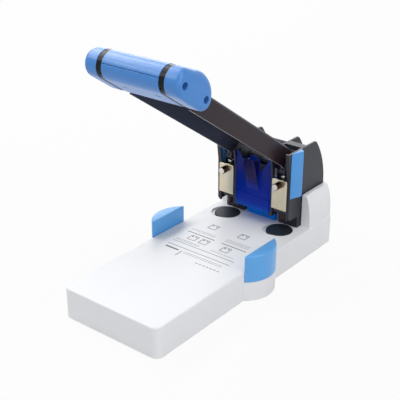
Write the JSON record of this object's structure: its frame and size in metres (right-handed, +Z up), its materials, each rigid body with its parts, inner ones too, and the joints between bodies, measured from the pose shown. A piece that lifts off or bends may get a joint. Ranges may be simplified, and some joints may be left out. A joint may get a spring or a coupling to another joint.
{
  "type": "heavy duty lever hole punch",
  "caption": "Desktop paper punch with a raised lever, dark tower, cutting cassettes, chip box, turning cutting discs and sliding side guides on a white base.",
  "frame": {"origin": "under the middle of the base, on the surface that the feet stand on", "axes": "+Z up, +Y from the front of the deck to the rear cheeks, +X to the right seen from the front"},
  "size_m": [0.168, 0.341, 0.297],
  "materials": {
    "white_shell": "satin white moulding",
    "bright_steel": "bright zinc",
    "spring_steel": "drawn wire",
    "foot_rubber": "matt",
    "dark_paint": "satin dark grey",
    "lever_paint": "semi-gloss brown black",
    "blue_plastic": "satin light blue",
    "polished_plate": "polished nickel",
    "disc_plastic": "matt dark grey",
    "clear_blue_plastic": "translucent blue",
    "black_plastic": "gloss black"
  },
  "bodies": {
    "base": {"base_shell": "white_shell", "bottom_plate": "bright_steel", "rubber_feet": "foot_rubber", "bottom_screws": "bright_steel", "sole_plate": "bright_steel", "rail_keepers": "bright_steel", "tower_block": "dark_paint", "left_inner_wall": "dark_paint", "right_inner_wall": "dark_paint", "left_outer_wall": "dark_paint", "right_outer_wall": "dark_paint", "left_bridge": "dark_paint", "right_bridge": "dark_paint", "left_shelf": "dark_paint", "right_shelf": "dark_paint", "spacer_rods": "bright_steel", "tower_screws": "bright_steel", "pivot_shaft": "bright_steel", "retaining_rings": "bright_steel", "left_side_pad": "blue_plastic", "right_side_pad": "blue_plastic", "left_cassette_body": "bright_steel", "right_cassette_body": "bright_steel", "left_cassette_plate": "polished_plate", "right_cassette_plate": "polished_plate", "left_pull_stud": "polished_plate", "right_pull_stud": "polished_plate", "left_return_spring": "spring_steel", "right_return_spring": "spring_steel"},
    "lever": {"lever_channel": "lever_paint", "left_press_shoe": "dark_paint", "right_press_shoe": "dark_paint", "shoe_rivets": "dark_paint", "left_pivot_sleeve": "bright_steel", "right_pivot_sleeve": "bright_steel", "grip_upper_shell": "blue_plastic", "grip_lower_shell": "blue_plastic", "left_grip_band": "black_plastic", "right_grip_band": "black_plastic", "left_grip_cap": "blue_plastic", "right_grip_cap": "blue_plastic", "grip_rods": "bright_steel", "grip_screws": "bright_steel"},
    "left_punch": {"left_punch": "bright_steel"},
    "right_punch": {"right_punch": "bright_steel"},
    "left_disc": {"left_cutting_disc": "disc_plastic"},
    "right_disc": {"right_cutting_disc": "disc_plastic"},
    "chip_box": {"chip_box": "clear_blue_plastic"},
    "left_guide": {"left_side_guide": "blue_plastic", "left_guide_rail": "bright_steel"},
    "right_guide": {"right_side_guide": "blue_plastic", "right_guide_rail": "bright_steel"}
  },
  "joints": [
    {"name": "lever_hinge", "type": "hinge", "parent": "base", "child": "lever", "pos_m": [0, 0.11971, 0.1108], "axis": [1, 0, 0], "range_deg": [0, 29.6], "stiffness_Nm_per_rad": 6, "springref_deg": -34.38},
    {"name": "left_punch_slide", "type": "slide", "parent": "base", "child": "left_punch", "axis": [0, 0, -1], "range_m": [0, 0.012], "deforming": ["left_return_spring"]},
    {"name": "right_punch_slide", "type": "slide", "parent": "base", "child": "right_punch", "axis": [0, 0, -1], "range_m": [0, 0.012], "deforming": ["right_return_spring"]},
    {"name": "left_disc_spin", "type": "hinge", "parent": "base", "child": "left_disc", "pos_m": [-0.04, 0.0915, 0.037], "axis": [0, 0, 1], "continuous": true},
    {"name": "right_disc_spin", "type": "hinge", "parent": "base", "child": "right_disc", "pos_m": [0.04, 0.0915, 0.037], "axis": [0, 0, 1], "continuous": true},
    {"name": "chip_box_slide", "type": "slide", "parent": "base", "child": "chip_box", "axis": [0, -1, 0], "range_m": [0, 0.02]},
    {"name": "left_guide_slide", "type": "slide", "parent": "base", "child": "left_guide", "axis": [-1, 0, 0], "range_m": [0, 0.08]},
    {"name": "right_guide_slide", "type": "slide", "parent": "base", "child": "right_guide", "axis": [1, 0, 0], "range_m": [0, 0.08]}
  ],
  "couplings": [
    {"joint": "left_punch_slide", "follows": "lever_hinge", "m_per_rad": 0.02322},
    {"joint": "right_punch_slide", "follows": "lever_hinge", "m_per_rad": 0.02322}
  ]
}
